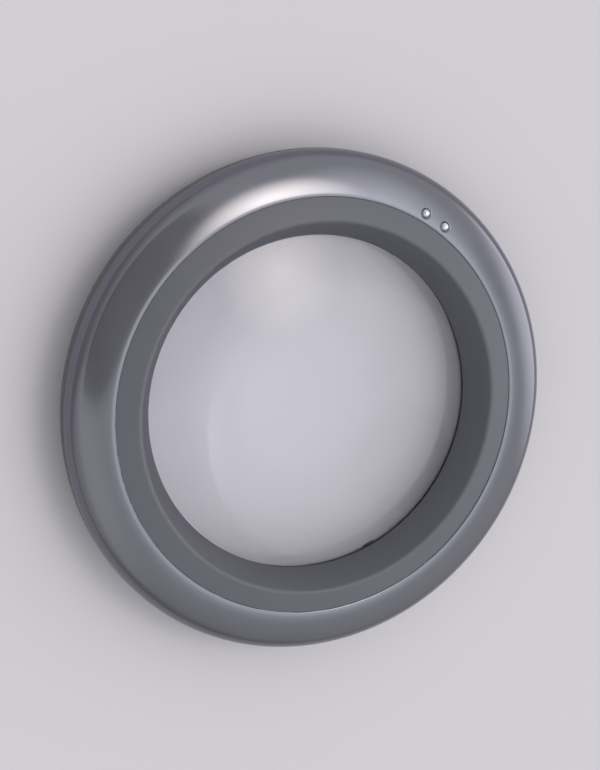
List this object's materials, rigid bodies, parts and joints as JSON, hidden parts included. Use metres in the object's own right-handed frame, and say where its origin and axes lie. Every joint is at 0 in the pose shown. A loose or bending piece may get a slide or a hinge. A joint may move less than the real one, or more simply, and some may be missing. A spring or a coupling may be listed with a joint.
{
  "type": "illuminated stand magnifier",
  "caption": "Low round stand magnifier: glossy ring around a large clear lens, with touch contacts for the lamps that light the page under it and a battery door below.",
  "frame": {"origin": "middle of the plane that the four rubber pads rest on, under the centre of the lens", "axes": "+Z up along the lens axis; X to the right and Y up as the ring is seen in the picture"},
  "size_m": [0.1, 0.1, 0.016],
  "materials": {
    "gloss_shell": "metallic gunmetal, high gloss",
    "matte_bezel": "satin dark grey",
    "matte_base": "satin dark grey",
    "clear_lens": "clear, polished acrylic",
    "pad_rubber": "matt black",
    "screw_steel": "zinc plated",
    "contact_chrome": "polished",
    "board_green": "green lacquer",
    "chip_black": "black resin",
    "lamp_clear": "water-clear lamp",
    "cell_steel": "bright nickel",
    "spring_metal": "nickel plated",
    "wire_red": "red insulation",
    "wire_black": "black insulation",
    "wire_white": "white insulation"
  },
  "bodies": {
    "case": {"base_shell": "matte_base", "battery_wire_black": "wire_black", "battery_wire_red": "wire_red", "board_screw_1": "screw_steel", "board_screw_2": "screw_steel", "case_screw_1": "screw_steel", "case_screw_2": "screw_steel", "case_screw_3": "screw_steel", "case_screw_4": "screw_steel", "circuit_board": "board_green", "foot_pad_1": "pad_rubber", "foot_pad_2": "pad_rubber", "foot_pad_3": "pad_rubber", "foot_pad_4": "pad_rubber", "inner_bezel": "matte_bezel", "lamp_1": "lamp_clear", "lamp_2": "lamp_clear", "lamp_3": "lamp_clear", "lamp_legs_1": "spring_metal", "lamp_legs_2": "spring_metal", "lamp_legs_3": "spring_metal", "lamp_wire_left": "wire_white", "lamp_wire_right": "wire_white", "lamp_wire_short": "wire_white", "lens": "clear_lens", "negative_contact": "spring_metal", "positive_contact": "spring_metal", "resistor_1": "chip_black", "resistor_2": "chip_black", "resistor_3": "chip_black", "top_shell": "gloss_shell", "touch_chip": "chip_black", "touch_stud_1": "contact_chrome", "touch_stud_2": "contact_chrome"},
    "battery_door": {"battery_door": "matte_base", "door_screw_1": "screw_steel", "door_screw_2": "screw_steel"},
    "button_cells": {"button_cell_1": "cell_steel", "button_cell_2": "cell_steel", "button_cell_3": "cell_steel"}
  },
  "joints": [
    {"name": "door_lift_off", "type": "slide", "parent": "case", "child": "battery_door", "axis": [0, 0, -1], "range_m": [0, 0.03]},
    {"name": "cells_drop_out", "type": "slide", "parent": "case", "child": "button_cells", "axis": [0, 0, -1], "range_m": [0, 0.015]}
  ],
  "couplings": [
    {"joint": "cells_drop_out", "follows": "door_lift_off", "ratio": 0.5}
  ]
}
